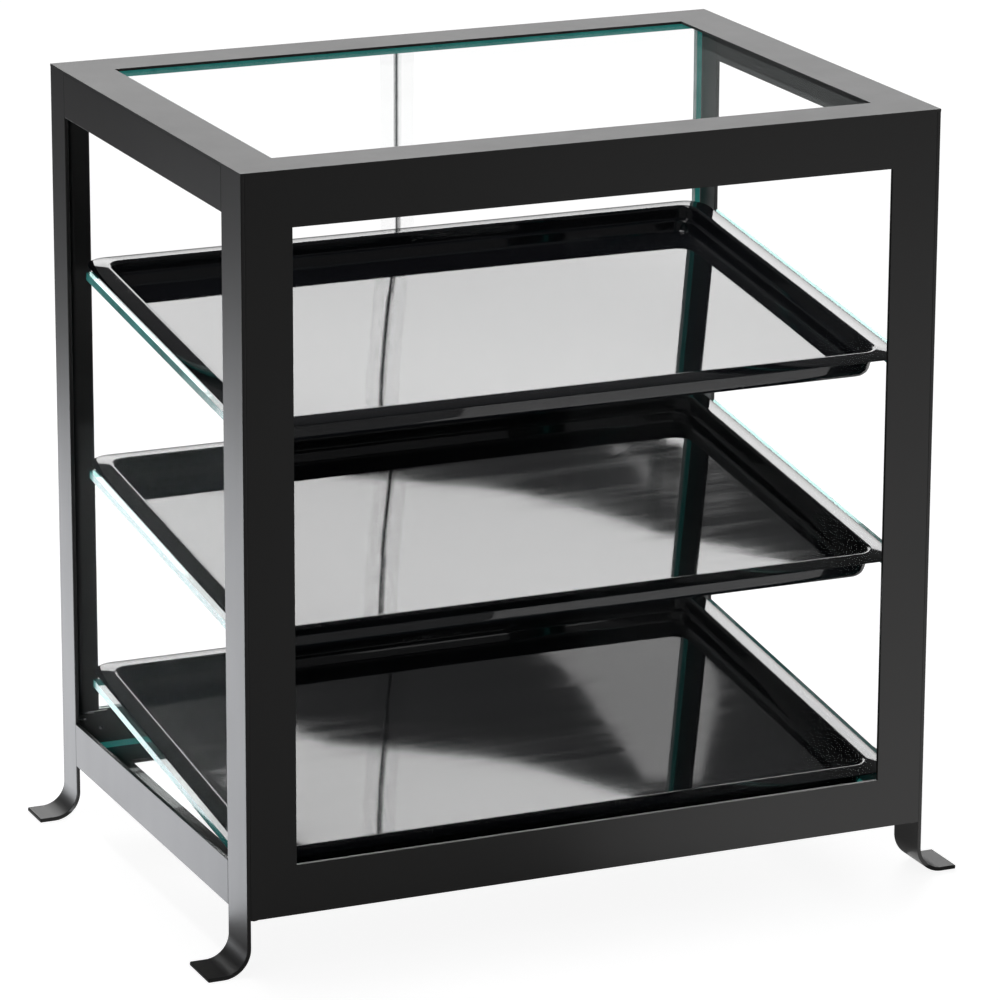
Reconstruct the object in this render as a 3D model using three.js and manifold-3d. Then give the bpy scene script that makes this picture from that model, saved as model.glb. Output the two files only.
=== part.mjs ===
// Countertop bakery display case: a welded steel frame on four curled feet, glazed on five sides,
// with three sloping trays on glass runners and a two-leaf folding door across the open back.
//
// Millimetres, +Z up. X runs from the left side to the right, Y from the front face to the back.
// Everything is first built with Y = 0 on the front face and Z = 0 on the table; the exported
// group then moves back by half the depth, so that its origin is the middle of the footprint.

import * as THREE from 'three';
import { mergeVertices } from 'three/addons/utils/BufferGeometryUtils.js';
import Module from 'manifold-3d';

const wasm = await Module();
wasm.setup();

// ---- Driving dimensions -------------------------------------------------------------------

// Case outline.
const CASE_WIDTH = 540;
const CASE_DEPTH = 394;
const PANEL_HEIGHT = 544;
const FOOT_HEIGHT = 42;

// Steel stock.
const BAR = 3;
const RING_THICKNESS = 2;
const FLANGE = 37.5;
const FRONT_LEG_WIDTH = 38;
const REAR_LEG_WIDTH = 30;
const FRONT_STILE = 35;
const FRONT_TOP_RAIL = 39;
const FRONT_BOTTOM_RAIL = 37.5;
const SIDE_TOP_RAIL = 33;
const SIDE_BOTTOM_RAIL = 34;
const REAR_BOTTOM_RAIL = 34;

// Curled feet.
const TOE_REACH = 30;
const TOE_RADIUS = 18;

// Glass.
const GLASS = 5;
const GLASS_GAP = 0.5;
const BOND = 0.25;
const STOP_STRIP_THICKNESS = 4;
const STOP_STRIP_DEPTH = 5.5;
const STOP_STRIP_FRONT = 376.5;

// Trays and their runners.
const TRAY_WIDTH = 514;
const TRAY_DEPTH = 352;
const TRAY_FALL = 22;
const TRAY_WALL = 2.5;
const TRAY_RIM = 15;
const TRAY_CORNER = 18;
const TRAY_DRAFT = 5;
const TRAY_FRONT = 20;
const TRAY_SLOPE_DEG = 7;
const TRAY_LEVELS = [{ name: 'lower', z: 35 }, { name: 'middle', z: 200.5 }, { name: 'upper', z: 354.5 }];
const RUNNER_WIDTH = 14;
const RUNNER_THICKNESS = 6;
const RUNNER_BACK = 348;
const RUNNER_STOP = 6;
const REST_GAP = 0.3;

// Folding rear door.
const LEAF = 5;
const LEAF_REAR = 390;
const DOOR_BOTTOM = 36;
const DOOR_TOP = 534;
const STILE_DEPTH = 9;
const STILE_WIDTH = 17;
const STILE_GROOVE = 10;
const FIT = 0.3;
const LEAF_JOINT = 0.75;
const LEAF_SIDE_GAP = 1;
const KNUCKLE_RADIUS = 1.3;
const KNUCKLE_BORE = 0.65;
const HINGE_PIN_RADIUS = 0.6;
const HINGE_PLATE = 1;
const HINGE_PLATE_WIDTH = 12;
const HINGE_PLATE_INSET = 1.7;
const KNUCKLE_TAB_INSET = 0.8;
const KNUCKLE_COUNT = 5;
const KNUCKLE_GAP = 0.4;
const HINGE_END_MARGIN = 2;

// Pivots, catch and fasteners of the door.
const PIVOT_RADIUS = 2;
const RUNNING_CLEARANCE = 0.1;
const PIVOT_DEPTH = 9;
const PIVOT_HEAD = { radius: 3.2, height: 2 };
const WASHER = { radius: 4.4, thickness: 1.5 };
const BRACKET = 3;
const BRACKET_WIDTH = 26;
const BRACKET_FOOT = 12;
const TAB = { width: 13.5, front: 382 };
const SCREW = { radius: 1.9, headRadius: 3.5, headHeight: 1.8, length: 6 };
const SCREW_SPACING = 14;
const CATCH = { width: 24, depth: 10, height: 14, centreX: 244 };
const MAGNET_THICKNESS = 0.75;
const STRIKE = { width: 20, height: 12, thickness: 0.5 };
const PULL = { height: 64, width: 18, depth: 14, wall: 2, lip: 12, centreZ: 305, edge: 4 };
const BUMPER = { width: 8, height: 3.5, fromMiddle: 180 };

const ROUND_SEGMENTS = 24;
const ARC_SEGMENTS = 10;

// ---- Levels and planes worked out from the dimensions above -------------------------------

const HALF_WIDTH = CASE_WIDTH / 2;
const INNER_X = HALF_WIDTH - BAR;
const PANEL_TOP = FOOT_HEIGHT + PANEL_HEIGHT;
const RING_UNDERSIDE = PANEL_TOP - RING_THICKNESS;
const TOP_PANE_UNDERSIDE = RING_UNDERSIDE - GLASS;
const BOTTOM_RING_TOP = FOOT_HEIGHT + BAR;
const BOTTOM_PANE_TOP = BOTTOM_RING_TOP + GLASS;
const PANE_OUTER_X = INNER_X - GLASS_GAP;
const PANE_INNER_X = PANE_OUTER_X - GLASS;
const FRONT_PANE_FRONT = BAR + GLASS_GAP;
const FRONT_PANE_BACK = FRONT_PANE_FRONT + GLASS;
const REAR_RAIL_FRONT = CASE_DEPTH - BAR;
const SIDE_PANE_BACK = REAR_RAIL_FRONT - 1;
const BOTTOM_PANE_SETBACK = 2;
const TOP_PANE_BACK = 384.5;
const LEAF_FRONT = LEAF_REAR - LEAF;
const LEAF_MIDDLE = LEAF_REAR - LEAF / 2;
const DOOR_LOW = FOOT_HEIGHT + DOOR_BOTTOM;
const DOOR_HIGH = FOOT_HEIGHT + DOOR_TOP;
const STILE_LEFT = -PANE_INNER_X + GLASS_GAP;
const STILE_RIGHT = STILE_LEFT + STILE_WIDTH;
const PIVOT_X = STILE_LEFT + STILE_DEPTH / 2;
const DOOR_RIGHT = PANE_INNER_X - LEAF_SIDE_GAP;
const FOLD_X = (STILE_RIGHT + DOOR_RIGHT) / 2;
const FOLD_Y = LEAF_REAR + KNUCKLE_RADIUS;
const SCREW_Z = FOOT_HEIGHT + 20;
const OVERALL_DEPTH = LEAF_REAR + PULL.depth;

// ---- Materials ----------------------------------------------------------------------------

const finishes = {
  steel: { color: 0x1d1d1f, roughness: 0.45, metalness: 0.3 },
  glass: { color: 0xbfe6dc, roughness: 0.05, metalness: 0, transparent: true, opacity: 0.35 },
  clear: { color: 0xe6ecec, roughness: 0.08, metalness: 0, transparent: true, opacity: 0.35 },
  tray: { color: 0x0c0c0e, roughness: 0.12, metalness: 0 },
  zinc: { color: 0x9a9a9c, roughness: 0.35, metalness: 0.9 },
  plastic: { color: 0x222224, roughness: 0.5, metalness: 0 },
};

function material(finish) {
  return new THREE.MeshStandardMaterial(finishes[finish]);
}

// ---- Building blocks ----------------------------------------------------------------------

function mesh(name, geometry, finish) {
  const piece = new THREE.Mesh(geometry, material(finish));
  piece.name = name;
  return piece;
}

// A box between two opposite corners, as a geometry already in its place.
function boxGeometry(low, high) {
  const geometry = new THREE.BoxGeometry(high[0] - low[0], high[1] - low[1], high[2] - low[2]);
  geometry.translate((low[0] + high[0]) / 2, (low[1] + high[1]) / 2, (low[2] + high[2]) / 2);
  return geometry;
}

function box(name, low, high, finish) {
  const size = high.map((value, axis) => value - low[axis]);
  const piece = mesh(name, new THREE.BoxGeometry(...size), finish);
  piece.position.set((low[0] + high[0]) / 2, (low[1] + high[1]) / 2, (low[2] + high[2]) / 2);
  return piece;
}

// The same box on the other side of the case's middle plane.
function mirrored(low, high) {
  return [[-high[0], low[1], low[2]], [-low[0], high[1], high[2]]];
}

function sidePair(stem, low, high, finish) {
  return [
    box(`right_${stem}`, low, high, finish),
    box(`left_${stem}`, ...mirrored(low, high), finish),
  ];
}

function roundRectangle(width, depth, radius) {
  const x = width / 2 - radius;
  const y = depth / 2 - radius;
  const outline = new THREE.Shape();
  outline.absarc(x, y, radius, 0, Math.PI / 2);
  outline.absarc(-x, y, radius, Math.PI / 2, Math.PI);
  outline.absarc(-x, -y, radius, Math.PI, 1.5 * Math.PI);
  outline.absarc(x, -y, radius, 1.5 * Math.PI, 2 * Math.PI);
  return outline;
}

function extrude(outline, depth, segments = ARC_SEGMENTS) {
  return new THREE.ExtrudeGeometry(outline, { depth, bevelEnabled: false, curveSegments: segments });
}

// A slab with round corners whose foot is smaller than its top by the draft on every side.
function taperedSlab(width, depth, radius, low, high, draft) {
  const geometry = extrude(roundRectangle(width, depth, radius), high - low, 6);
  const position = geometry.getAttribute('position');
  for (let i = 0; i < position.count; i += 1) {
    const atFoot = position.getZ(i) < (high - low) / 2;
    const shrinkX = atFoot ? (width - 2 * draft) / width : 1;
    const shrinkY = atFoot ? (depth - 2 * draft) / depth : 1;
    position.setXYZ(i, position.getX(i) * shrinkX, position.getY(i) * shrinkY, position.getZ(i) + low);
  }
  return geometry;
}

// An upright tube or rod: inner is 0 for a rod.
function rodGeometry(outer, inner, low, high, x, y) {
  const outline = new THREE.Shape();
  outline.absarc(0, 0, outer, 0, 2 * Math.PI);
  if (inner > 0) {
    const bore = new THREE.Path();
    bore.absarc(0, 0, inner, 0, 2 * Math.PI);
    outline.holes.push(bore);
  }
  const geometry = extrude(outline, high - low, ROUND_SEGMENTS / 2);
  geometry.translate(x, y, low);
  return geometry;
}

// A rod along Y, from front to back.
function crossRodGeometry(radius, front, back, x, z) {
  const geometry = new THREE.CylinderGeometry(radius, radius, back - front, ROUND_SEGMENTS);
  geometry.translate(x, (front + back) / 2, z);
  return geometry;
}

function toSolid(geometry) {
  const bare = geometry.clone();
  bare.deleteAttribute('normal');
  bare.deleteAttribute('uv');
  const merged = mergeVertices(bare, 1e-4);
  return new wasm.Manifold(new wasm.Mesh({
    numProp: 3,
    vertProperties: new Float32Array(merged.getAttribute('position').array),
    triVerts: new Uint32Array(merged.getIndex().array),
  }));
}

function toGeometry(solid) {
  const result = solid.getMesh();
  const geometry = new THREE.BufferGeometry();
  geometry.setAttribute('position', new THREE.BufferAttribute(new Float32Array(result.vertProperties), 3));
  geometry.setIndex(new THREE.BufferAttribute(new Uint32Array(result.triVerts), 1));
  geometry.computeVertexNormals();
  return geometry;
}

function join(geometries) {
  const solids = geometries.map(toSolid);
  return toGeometry(solids.reduce((whole, next) => whole.add(next)));
}

function cut(geometry, cutters) {
  return toGeometry(cutters.reduce((whole, next) => whole.subtract(toSolid(next)), toSolid(geometry)));
}

// ---- Frame --------------------------------------------------------------------------------

// One flat bar: it stands the full height of the case and curls outward into a flat toe.
// It is drawn for the right side, and turned half round for the left.
function leg(name, side, front, width) {
  const bend = TOE_RADIUS + BAR;
  const toeEnd = BAR + TOE_REACH;
  const outline = new THREE.Shape();
  outline.moveTo(0, RING_UNDERSIDE);
  outline.lineTo(0, bend);
  outline.absarc(bend, bend, bend, Math.PI, 1.5 * Math.PI, false);
  outline.lineTo(toeEnd, 0);
  outline.lineTo(toeEnd, BAR);
  outline.lineTo(bend, BAR);
  outline.absarc(bend, bend, TOE_RADIUS, 1.5 * Math.PI, Math.PI, true);
  outline.lineTo(BAR, RING_UNDERSIDE);
  outline.closePath();
  const geometry = extrude(outline, width);
  geometry.rotateX(Math.PI / 2);
  geometry.translate(0, width / 2, 0);
  const piece = mesh(name, geometry, 'steel');
  piece.rotation.z = side > 0 ? 0 : Math.PI;
  piece.position.set(side * INNER_X, front + width / 2, 0);
  return piece;
}

function legs() {
  const rearLegFront = CASE_DEPTH - REAR_LEG_WIDTH;
  return [
    leg('front_left_leg', -1, 0, FRONT_LEG_WIDTH),
    leg('front_right_leg', 1, 0, FRONT_LEG_WIDTH),
    leg('rear_left_leg', -1, rearLegFront, REAR_LEG_WIDTH),
    leg('rear_right_leg', 1, rearLegFront, REAR_LEG_WIDTH),
  ];
}

function sideRails() {
  const front = FRONT_LEG_WIDTH;
  const back = CASE_DEPTH - REAR_LEG_WIDTH;
  return [
    ...sidePair(
      'side_top_rail',
      [INNER_X, front, RING_UNDERSIDE - SIDE_TOP_RAIL],
      [HALF_WIDTH, back, RING_UNDERSIDE],
      'steel',
    ),
    ...sidePair(
      'side_bottom_rail',
      [INNER_X, front, FOOT_HEIGHT],
      [HALF_WIDTH, back, FOOT_HEIGHT + SIDE_BOTTOM_RAIL],
      'steel',
    ),
  ];
}

function frontFrame() {
  const stileIn = INNER_X - FRONT_STILE;
  const windowTop = RING_UNDERSIDE - FRONT_TOP_RAIL;
  const windowBottom = FOOT_HEIGHT + FRONT_BOTTOM_RAIL;
  return [
    ...sidePair('front_stile', [stileIn, 0, windowBottom], [INNER_X, BAR, windowTop], 'steel'),
    box('front_top_rail', [-INNER_X, 0, windowTop], [INNER_X, BAR, RING_UNDERSIDE], 'steel'),
    box('front_bottom_rail', [-INNER_X, 0, FOOT_HEIGHT], [INNER_X, BAR, windowBottom], 'steel'),
  ];
}

function topRing() {
  const inner = HALF_WIDTH - FLANGE;
  const back = CASE_DEPTH - FLANGE;
  return [
    box('top_front_flange', [-HALF_WIDTH, 0, RING_UNDERSIDE], [HALF_WIDTH, FLANGE, PANEL_TOP], 'steel'),
    box('top_rear_flange', [-HALF_WIDTH, back, RING_UNDERSIDE], [HALF_WIDTH, CASE_DEPTH, PANEL_TOP], 'steel'),
    ...sidePair('top_side_flange', [inner, FLANGE, RING_UNDERSIDE], [HALF_WIDTH, back, PANEL_TOP], 'steel'),
  ];
}

function bottomRing() {
  const inner = INNER_X - FLANGE;
  const back = REAR_RAIL_FRONT - FLANGE;
  const front = BAR + FLANGE;
  return [
    box('bottom_front_flange', [-INNER_X, BAR, FOOT_HEIGHT], [INNER_X, front, BOTTOM_RING_TOP], 'steel'),
    box(
      'bottom_rear_flange',
      [-INNER_X, back, FOOT_HEIGHT],
      [INNER_X, REAR_RAIL_FRONT, BOTTOM_RING_TOP],
      'steel',
    ),
    ...sidePair('bottom_side_flange', [inner, front, FOOT_HEIGHT], [INNER_X, back, BOTTOM_RING_TOP], 'steel'),
  ];
}

// The screws that hold the pivot bracket and the catch bracket, and their centres along X.
function screwPlaces() {
  const pivotMiddle = STILE_LEFT + BRACKET_WIDTH / 2;
  return [
    { name: 'pivot_screw_outer', x: pivotMiddle - SCREW_SPACING / 2 },
    { name: 'pivot_screw_inner', x: pivotMiddle + SCREW_SPACING / 2 },
    { name: 'catch_screw_inner', x: CATCH.centreX - SCREW_SPACING / 2 },
    { name: 'catch_screw_outer', x: CATCH.centreX + SCREW_SPACING / 2 },
  ];
}

function screwHoles(front, back) {
  const radius = SCREW.radius + RUNNING_CLEARANCE;
  return screwPlaces().map(({ x }) => crossRodGeometry(radius, front, back, x, SCREW_Z));
}

function rearBottomRail() {
  const bar = boxGeometry(
    [-INNER_X, REAR_RAIL_FRONT, FOOT_HEIGHT],
    [INNER_X, CASE_DEPTH, FOOT_HEIGHT + REAR_BOTTOM_RAIL],
  );
  return mesh('rear_bottom_rail', cut(bar, screwHoles(REAR_RAIL_FRONT - 1, CASE_DEPTH + 1)), 'steel');
}

// ---- Glass --------------------------------------------------------------------------------

function panes() {
  const low = BOTTOM_RING_TOP;
  return [
    box(
      'front_pane',
      [-PANE_OUTER_X, FRONT_PANE_FRONT, low],
      [PANE_OUTER_X, FRONT_PANE_BACK, TOP_PANE_UNDERSIDE - GLASS_GAP],
      'glass',
    ),
    ...sidePair(
      'side_pane',
      [PANE_INNER_X, FRONT_PANE_BACK + GLASS_GAP, low],
      [PANE_OUTER_X, SIDE_PANE_BACK, TOP_PANE_UNDERSIDE - GLASS_GAP],
      'glass',
    ),
    box(
      'top_pane',
      [-PANE_OUTER_X, FRONT_PANE_FRONT, TOP_PANE_UNDERSIDE],
      [PANE_OUTER_X, TOP_PANE_BACK, RING_UNDERSIDE],
      'glass',
    ),
    box(
      'bottom_pane',
      [-PANE_INNER_X + GLASS_GAP, FRONT_PANE_BACK + GLASS_GAP, low],
      [PANE_INNER_X - GLASS_GAP, SIDE_PANE_BACK - BOTTOM_PANE_SETBACK, BOTTOM_PANE_TOP],
      'glass',
    ),
  ];
}

// The glass strip under the top pane that the door closes against, with its clear bumpers.
function doorStop() {
  const back = STOP_STRIP_FRONT + STOP_STRIP_DEPTH;
  const low = TOP_PANE_UNDERSIDE - STOP_STRIP_THICKNESS;
  const reach = PANE_INNER_X - BOND;
  return [
    box('door_stop_strip', [-reach, STOP_STRIP_FRONT, low], [reach, back, TOP_PANE_UNDERSIDE], 'glass'),
    ...sidePair(
      'door_bumper',
      [BUMPER.fromMiddle, back, low],
      [BUMPER.fromMiddle + BUMPER.width, LEAF_FRONT - BOND, low + BUMPER.height],
      'clear',
    ),
  ];
}

// ---- Trays --------------------------------------------------------------------------------

// The rim lies in the group's XY plane with its top at Z = 0; the dish hangs below it.
function trayGeometry() {
  const mouthWidth = TRAY_WIDTH - 2 * TRAY_RIM;
  const mouthDepth = TRAY_DEPTH - 2 * TRAY_RIM;
  const cornerIn = TRAY_CORNER - TRAY_RIM / 3;
  const rim = taperedSlab(TRAY_WIDTH, TRAY_DEPTH, TRAY_CORNER, -TRAY_WALL, 0, 0);
  const shellWidth = mouthWidth + 2 * TRAY_WALL;
  const shellDepth = mouthDepth + 2 * TRAY_WALL;
  const shell = taperedSlab(shellWidth, shellDepth, cornerIn + TRAY_WALL, -TRAY_FALL, 0, TRAY_DRAFT);
  const dish = taperedSlab(mouthWidth, mouthDepth, cornerIn, TRAY_WALL - TRAY_FALL, 1, TRAY_DRAFT);
  return toGeometry(toSolid(rim).add(toSolid(shell)).subtract(toSolid(dish)));
}

// A strip along the side pane that the rim rests on, with an upstand at its low front end that
// keeps the tray off the front pane.
function runner(side, level) {
  const outer = PANE_INNER_X - BOND;
  const inner = outer - RUNNER_WIDTH;
  const back = TRAY_FRONT - REST_GAP;
  const front = back - RUNNER_STOP;
  const top = -TRAY_WALL - REST_GAP;
  const bottom = top - RUNNER_THICKNESS;
  const strip = [[inner, front, bottom], [outer, RUNNER_BACK, top]];
  const upstand = [[inner, front, bottom], [outer, back, 0]];
  const corners = side > 0 ? [strip, upstand] : [mirrored(...strip), mirrored(...upstand)];
  const name = side > 0 ? `${level}_right_runner` : `${level}_left_runner`;
  return mesh(name, join(corners.map((pair) => boxGeometry(...pair))), 'glass');
}

function trayLevel({ name, z }) {
  const level = new THREE.Group();
  level.position.z = FOOT_HEIGHT + z;
  level.rotation.x = THREE.MathUtils.degToRad(TRAY_SLOPE_DEG);
  const tray = mesh(`${name}_tray`, trayGeometry(), 'tray');
  tray.position.y = TRAY_FRONT + TRAY_DEPTH / 2;
  level.add(tray, runner(-1, name), runner(1, name));
  return level;
}

// ---- Folding door -------------------------------------------------------------------------

// An upright channel with a round outer edge; it grips the left leaf and turns on two pins.
function hingeStile() {
  const half = STILE_DEPTH / 2;
  const groove = LEAF / 2 + FIT;
  const width = STILE_WIDTH - half;
  const outline = new THREE.Shape();
  outline.moveTo(width, half);
  outline.lineTo(0, half);
  outline.absarc(0, 0, half, Math.PI / 2, 1.5 * Math.PI);
  outline.lineTo(width, -half);
  outline.lineTo(width, -groove);
  outline.lineTo(width - STILE_GROOVE, -groove);
  outline.lineTo(width - STILE_GROOVE, groove);
  outline.lineTo(width, groove);
  outline.closePath();
  const body = extrude(outline, DOOR_HIGH - DOOR_LOW);
  body.translate(PIVOT_X, LEAF_MIDDLE, DOOR_LOW);
  const bore = PIVOT_RADIUS + RUNNING_CLEARANCE;
  const lowerHole = rodGeometry(bore, 0, DOOR_LOW - 1, DOOR_LOW + PIVOT_DEPTH + 1, PIVOT_X, LEAF_MIDDLE);
  const upperHole = rodGeometry(bore, 0, DOOR_HIGH - PIVOT_DEPTH - 1, DOOR_HIGH + 1, PIVOT_X, LEAF_MIDDLE);
  return mesh('door_hinge_stile', cut(body, [lowerHole, upperHole]), 'steel');
}

function leaves() {
  const leftEdge = STILE_RIGHT - STILE_GROOVE + FIT;
  return [
    box(
      'door_inner_leaf',
      [leftEdge, LEAF_FRONT, DOOR_LOW],
      [FOLD_X - LEAF_JOINT, LEAF_REAR, DOOR_HIGH],
      'clear',
    ),
    box(
      'door_outer_leaf',
      [FOLD_X + LEAF_JOINT, LEAF_FRONT, DOOR_LOW],
      [DOOR_RIGHT, LEAF_REAR, DOOR_HIGH],
      'clear',
    ),
  ];
}

// Half of the fold hinge: a flat plate on the back of one leaf and every second knuckle.
function foldHingeHalf(name, side, firstKnuckle) {
  const low = DOOR_LOW + HINGE_END_MARGIN;
  const length = (DOOR_HIGH - DOOR_LOW - 2 * HINGE_END_MARGIN) / KNUCKLE_COUNT;
  const plateBox = (near, far, bottom, top) => {
    const xs = [FOLD_X + side * near, FOLD_X + side * far].sort((a, b) => a - b);
    return boxGeometry([xs[0], LEAF_REAR, bottom], [xs[1], LEAF_REAR + HINGE_PLATE, top]);
  };
  const plateEnd = HINGE_PLATE_INSET + HINGE_PLATE_WIDTH;
  const pieces = [plateBox(HINGE_PLATE_INSET, plateEnd, low, low + KNUCKLE_COUNT * length)];
  for (let i = firstKnuckle; i < KNUCKLE_COUNT; i += 2) {
    const bottom = low + i * length + KNUCKLE_GAP / 2;
    const top = low + (i + 1) * length - KNUCKLE_GAP / 2;
    pieces.push(rodGeometry(KNUCKLE_RADIUS, KNUCKLE_BORE, bottom, top, FOLD_X, FOLD_Y));
    pieces.push(plateBox(KNUCKLE_TAB_INSET, HINGE_PLATE_INSET + 1, bottom, top));
  }
  return mesh(name, join(pieces), 'clear');
}

function foldHinge() {
  const low = DOOR_LOW + HINGE_END_MARGIN;
  const high = DOOR_HIGH - HINGE_END_MARGIN;
  return [
    foldHingeHalf('fold_hinge_inner_half', -1, 0),
    foldHingeHalf('fold_hinge_outer_half', 1, 1),
    mesh('fold_hinge_pin', rodGeometry(HINGE_PIN_RADIUS, 0, low, high, FOLD_X, FOLD_Y), 'zinc'),
  ];
}

// A channel-shaped finger pull bonded to the back of the outer leaf, open toward its free edge.
function doorPull() {
  const outline = new THREE.Shape();
  outline.moveTo(0, 0);
  outline.lineTo(PULL.width, 0);
  outline.lineTo(PULL.width, PULL.wall);
  outline.lineTo(PULL.wall, PULL.wall);
  outline.lineTo(PULL.wall, PULL.depth - PULL.wall);
  outline.lineTo(PULL.lip, PULL.depth - PULL.wall);
  outline.lineTo(PULL.lip, PULL.depth);
  outline.lineTo(0, PULL.depth);
  outline.closePath();
  const piece = mesh('door_pull', extrude(outline, PULL.height), 'clear');
  const pullLow = FOOT_HEIGHT + PULL.centreZ - PULL.height / 2;
  piece.position.set(DOOR_RIGHT - PULL.edge - PULL.width, LEAF_REAR, pullLow);
  return piece;
}

// ---- Door hardware on the frame -----------------------------------------------------------

// The hole that a pivot pin turns in, between two heights.
function pivotHole(low, high) {
  return rodGeometry(PIVOT_RADIUS + RUNNING_CLEARANCE, 0, low, high, PIVOT_X, LEAF_MIDDLE);
}

function lowerPivot() {
  const railTop = FOOT_HEIGHT + REAR_BOTTOM_RAIL;
  const tabLow = railTop - BRACKET;
  const plate = boxGeometry(
    [STILE_LEFT, REAR_RAIL_FRONT - BRACKET, FOOT_HEIGHT + BRACKET_FOOT],
    [STILE_LEFT + BRACKET_WIDTH, REAR_RAIL_FRONT, tabLow + 1],
  );
  const tabRight = STILE_LEFT + TAB.width;
  const tab = boxGeometry([STILE_LEFT, TAB.front, tabLow], [tabRight, REAR_RAIL_FRONT, railTop]);
  const hole = pivotHole(tabLow - 1, railTop + 1);
  const relief = rodGeometry(
    PIVOT_HEAD.radius + FIT, 0, tabLow - PIVOT_HEAD.height - FIT, tabLow, PIVOT_X, LEAF_MIDDLE,
  );
  const holes = screwHoles(REAR_RAIL_FRONT - BRACKET - 1, CASE_DEPTH + 1);
  const washerLow = railTop + (DOOR_LOW - railTop - WASHER.thickness) / 2;
  const headLow = tabLow - PIVOT_HEAD.height;
  const pin = join([
    rodGeometry(PIVOT_HEAD.radius, 0, headLow, tabLow - FIT / 2, PIVOT_X, LEAF_MIDDLE),
    rodGeometry(PIVOT_RADIUS, 0, headLow + 1, DOOR_LOW + PIVOT_DEPTH, PIVOT_X, LEAF_MIDDLE),
  ]);
  const washer = rodGeometry(
    WASHER.radius, PIVOT_RADIUS + RUNNING_CLEARANCE,
    washerLow, washerLow + WASHER.thickness, PIVOT_X, LEAF_MIDDLE,
  );
  return [
    mesh('lower_pivot_bracket', cut(join([plate, tab]), [hole, relief, ...holes]), 'steel'),
    mesh('lower_pivot_pin', pin, 'zinc'),
    mesh('pivot_washer', washer, 'plastic'),
  ];
}

function upperPivot() {
  const low = TOP_PANE_UNDERSIDE;
  const blockRight = STILE_LEFT + TAB.width;
  const block = boxGeometry(
    [STILE_LEFT, TOP_PANE_BACK + BOND, low],
    [blockRight, CASE_DEPTH - 1, RING_UNDERSIDE],
  );
  const hole = pivotHole(low - 1, RING_UNDERSIDE + 1);
  const pinLow = DOOR_HIGH - PIVOT_DEPTH;
  const pin = rodGeometry(PIVOT_RADIUS, 0, pinLow, RING_UNDERSIDE - FIT, PIVOT_X, LEAF_MIDDLE);
  return [
    mesh('upper_pivot_block', cut(block, [hole]), 'steel'),
    mesh('upper_pivot_pin', pin, 'zinc'),
  ];
}

// A magnetic catch on its own bracket, and the steel strike on the outer leaf that it holds.
function doorCatch() {
  const left = CATCH.centreX - CATCH.width / 2;
  const right = CATCH.centreX + CATCH.width / 2;
  const railTop = FOOT_HEIGHT + REAR_BOTTOM_RAIL;
  const shelfLow = railTop - BRACKET;
  const strikeFront = LEAF_FRONT - STRIKE.thickness;
  const magnetBack = strikeFront - BOND;
  const bodyBack = magnetBack - MAGNET_THICKNESS;
  const bodyFront = bodyBack - CATCH.depth;
  const plate = boxGeometry(
    [left, REAR_RAIL_FRONT - BRACKET, FOOT_HEIGHT + BRACKET_FOOT],
    [right, REAR_RAIL_FRONT, shelfLow + 1],
  );
  const shelf = boxGeometry([left, bodyFront, shelfLow], [right, REAR_RAIL_FRONT, railTop]);
  const holes = screwHoles(REAR_RAIL_FRONT - BRACKET - 1, CASE_DEPTH + 1);
  const strikeLow = DOOR_LOW + 1;
  return [
    mesh('catch_bracket', cut(join([plate, shelf]), holes), 'steel'),
    box('catch_body', [left, bodyFront, railTop], [right, bodyBack, railTop + CATCH.height], 'plastic'),
    box(
      'catch_magnet',
      [left + 2, bodyBack, railTop + 2],
      [right - 2, magnetBack, railTop + CATCH.height - 1],
      'zinc',
    ),
    box(
      'door_strike',
      [CATCH.centreX - STRIKE.width / 2, strikeFront, strikeLow],
      [CATCH.centreX + STRIKE.width / 2, LEAF_FRONT, strikeLow + STRIKE.height],
      'zinc',
    ),
  ];
}

function bracketScrews() {
  const back = CASE_DEPTH + SCREW.headHeight;
  return screwPlaces().map(({ name, x }) => mesh(name, join([
    crossRodGeometry(SCREW.headRadius, CASE_DEPTH, back, x, SCREW_Z),
    crossRodGeometry(SCREW.radius, CASE_DEPTH - SCREW.length, CASE_DEPTH + 1, x, SCREW_Z),
  ]), 'zinc'));
}

// ---- Assembly -----------------------------------------------------------------------------

const displayCase = new THREE.Group();
displayCase.position.y = -OVERALL_DEPTH / 2;
displayCase.add(
  ...legs(),
  ...sideRails(),
  ...frontFrame(),
  ...topRing(),
  ...bottomRing(),
  rearBottomRail(),
  ...panes(),
  ...doorStop(),
  ...TRAY_LEVELS.map(trayLevel),
  hingeStile(),
  ...leaves(),
  ...foldHinge(),
  doorPull(),
  ...lowerPivot(),
  ...upperPivot(),
  ...doorCatch(),
  ...bracketScrews(),
);

export default displayCase;
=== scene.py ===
"""Looks of a countertop bakery display case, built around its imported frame. Metres, +Z up."""

import math
import random

import bmesh
import bpy
from mathutils import Euler, Matrix, Vector


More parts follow.
